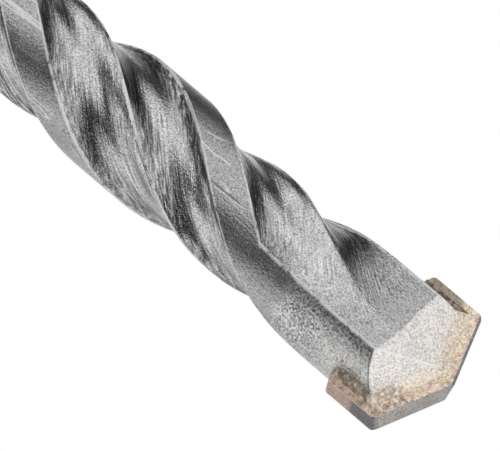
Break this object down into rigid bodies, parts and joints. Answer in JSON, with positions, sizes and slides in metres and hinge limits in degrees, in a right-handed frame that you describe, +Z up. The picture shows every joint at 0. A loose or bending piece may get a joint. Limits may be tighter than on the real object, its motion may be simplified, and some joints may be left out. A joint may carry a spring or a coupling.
{
  "type": "sds plus drill bit",
  "caption": "Hammer drill bit with a slotted round shank, twisted flutes and a brazed carbide plate across its point.",
  "frame": {"origin": "centre of the flat end of the shank, on the axis, at the base of the standing bit", "axes": "+Z up the axis from the shank end to the point, +X along the width of the carbide plate"},
  "size_m": [0.012, 0.01, 0.16],
  "materials": {
    "blasted_steel": "shot blasted and ground, satin",
    "sintered_carbide": "fine ground, dull",
    "copper_braze": "as flowed, satin"
  },
  "bodies": {
    "root": {"drill_body": "blasted_steel", "carbide_tip": "sintered_carbide", "braze_joint": "copper_braze"}
  },
  "joints": []
}
